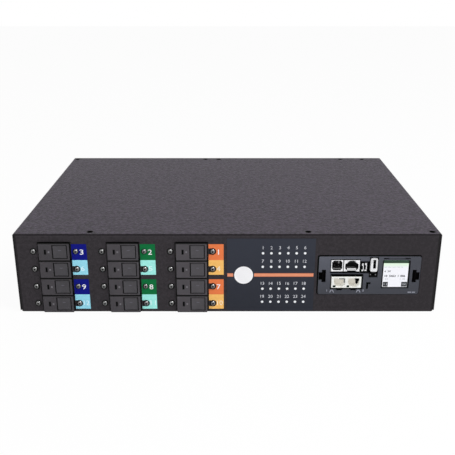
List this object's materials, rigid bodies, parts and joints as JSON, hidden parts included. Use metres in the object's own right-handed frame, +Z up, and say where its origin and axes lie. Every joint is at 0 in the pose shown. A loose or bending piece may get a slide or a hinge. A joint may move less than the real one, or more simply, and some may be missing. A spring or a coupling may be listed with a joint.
{
  "type": "rack power distribution unit",
  "caption": "Flat two-unit rack power distribution unit with rocker breakers, outlet lights, a plug-in monitoring module and rows of appliance outlets at the back.",
  "frame": {"origin": "centre of the case's underside", "axes": "+X to the right seen from the front panel, +Y from the front panel to the back, +Z up"},
  "size_m": [0.4394, 0.3442, 0.0889],
  "materials": {
    "case_paint": "textured powder coat",
    "screw_black": "black oxide",
    "screw_steel": "zinc plated",
    "breaker_plastic": "fine grained moulding",
    "rocker_plastic": "satin moulding",
    "label_blue": "printed film",
    "label_green": "printed film",
    "label_orange": "printed film",
    "overlay_film": "printed film",
    "light_pipe": "clear moulding",
    "circuit_board": "solder resist",
    "module_plastic": "satin moulding",
    "latch_plastic": "satin moulding",
    "jack_black": "moulding",
    "jack_shell": "plated shell",
    "jack_pale": "pale moulding",
    "display_glass": "lit display",
    "bay_steel": "galvanised sheet",
    "outlet_plastic": "moulding",
    "terminal_brass": "plated",
    "bar_copper": "copper",
    "gland_plastic": "moulding",
    "seal_rubber": "moulding",
    "terminal_plastic": "moulding"
  },
  "bodies": {
    "chassis": {"auxiliary_ports": "jack_black", "base_tray": "case_paint", "breaker_case_01": "breaker_plastic", "breaker_case_02": "breaker_plastic", "breaker_case_03": "breaker_plastic", "breaker_case_04": "breaker_plastic", "breaker_case_05": "breaker_plastic", "breaker_case_06": "breaker_plastic", "breaker_case_07": "breaker_plastic", "breaker_case_08": "breaker_plastic", "breaker_case_09": "breaker_plastic", "breaker_case_10": "breaker_plastic", "breaker_case_11": "breaker_plastic", "breaker_case_12": "breaker_plastic", "breaker_screws": "screw_steel", "breaker_terminals": "terminal_brass", "busbars": "bar_copper", "cover_screws": "screw_black", "earth_stud": "screw_steel", "gland_body": "gland_plastic", "gland_dome_nut": "gland_plastic", "gland_locknut": "gland_plastic", "gland_seal": "seal_rubber", "labels_blue": "label_blue", "labels_green": "label_green", "labels_orange": "label_orange", "lcd_display": "display_glass", "led_board": "circuit_board", "light_pipes": "light_pipe", "metering_board": "circuit_board", "module_bay": "bay_steel", "module_board": "circuit_board", "module_faceplate": "module_plastic", "network_jacks": "jack_pale", "outlet_bank_lower_left": "outlet_plastic", "outlet_bank_lower_right": "outlet_plastic", "outlet_bank_upper_left": "outlet_plastic", "outlet_bank_upper_right": "outlet_plastic", "overlay_panel": "overlay_film", "power_supply": "outlet_plastic", "sensor_jack": "jack_black", "serial_jack": "jack_shell", "standoffs": "terminal_brass", "terminal_block": "terminal_plastic", "top_cover": "case_paint", "usb_port": "jack_shell"},
    "rocker_03": {"breaker_rocker_03": "rocker_plastic"},
    "rocker_02": {"breaker_rocker_02": "rocker_plastic"},
    "rocker_01": {"breaker_rocker_01": "rocker_plastic"},
    "rocker_06": {"breaker_rocker_06": "rocker_plastic"},
    "rocker_05": {"breaker_rocker_05": "rocker_plastic"},
    "rocker_04": {"breaker_rocker_04": "rocker_plastic"},
    "rocker_09": {"breaker_rocker_09": "rocker_plastic"},
    "rocker_08": {"breaker_rocker_08": "rocker_plastic"},
    "rocker_07": {"breaker_rocker_07": "rocker_plastic"},
    "rocker_12": {"breaker_rocker_12": "rocker_plastic"},
    "rocker_11": {"breaker_rocker_11": "rocker_plastic"},
    "rocker_10": {"breaker_rocker_10": "rocker_plastic"},
    "latch_left_slide": {"latch_left": "latch_plastic"},
    "latch_right_slide": {"latch_right": "latch_plastic"}
  },
  "joints": [
    {"name": "rocker_01_turn", "type": "hinge", "parent": "chassis", "child": "rocker_01", "pos_m": [-0.0308, -0.1501, 0.07], "axis": [0, 0, -1], "range_deg": [0, 14]},
    {"name": "rocker_02_turn", "type": "hinge", "parent": "chassis", "child": "rocker_02", "pos_m": [-0.1014, -0.1501, 0.07], "axis": [0, 0, -1], "range_deg": [0, 14]},
    {"name": "rocker_03_turn", "type": "hinge", "parent": "chassis", "child": "rocker_03", "pos_m": [-0.172, -0.1501, 0.07], "axis": [0, 0, -1], "range_deg": [0, 14]},
    {"name": "rocker_04_turn", "type": "hinge", "parent": "chassis", "child": "rocker_04", "pos_m": [-0.0308, -0.1501, 0.0503], "axis": [0, 0, -1], "range_deg": [0, 14]},
    {"name": "rocker_05_turn", "type": "hinge", "parent": "chassis", "child": "rocker_05", "pos_m": [-0.1014, -0.1501, 0.0503], "axis": [0, 0, -1], "range_deg": [0, 14]},
    {"name": "rocker_06_turn", "type": "hinge", "parent": "chassis", "child": "rocker_06", "pos_m": [-0.172, -0.1501, 0.0503], "axis": [0, 0, -1], "range_deg": [0, 14]},
    {"name": "rocker_07_turn", "type": "hinge", "parent": "chassis", "child": "rocker_07", "pos_m": [-0.0308, -0.1501, 0.0306], "axis": [0, 0, -1], "range_deg": [0, 14]},
    {"name": "rocker_08_turn", "type": "hinge", "parent": "chassis", "child": "rocker_08", "pos_m": [-0.1014, -0.1501, 0.0306], "axis": [0, 0, -1], "range_deg": [0, 14]},
    {"name": "rocker_09_turn", "type": "hinge", "parent": "chassis", "child": "rocker_09", "pos_m": [-0.172, -0.1501, 0.0306], "axis": [0, 0, -1], "range_deg": [0, 14]},
    {"name": "rocker_10_turn", "type": "hinge", "parent": "chassis", "child": "rocker_10", "pos_m": [-0.0308, -0.1501, 0.0109], "axis": [0, 0, -1], "range_deg": [0, 14]},
    {"name": "rocker_11_turn", "type": "hinge", "parent": "chassis", "child": "rocker_11", "pos_m": [-0.1014, -0.1501, 0.0109], "axis": [0, 0, -1], "range_deg": [0, 14]},
    {"name": "rocker_12_turn", "type": "hinge", "parent": "chassis", "child": "rocker_12", "pos_m": [-0.172, -0.1501, 0.0109], "axis": [0, 0, -1], "range_deg": [0, 14]},
    {"name": "latch_left_press", "type": "slide", "parent": "chassis", "child": "latch_left_slide", "axis": [1, 0, 0], "range_m": [0, 0.002], "stiffness_N_per_m": 300},
    {"name": "latch_right_press", "type": "slide", "parent": "chassis", "child": "latch_right_slide", "axis": [-1, 0, 0], "range_m": [0, 0.002], "stiffness_N_per_m": 300}
  ]
}
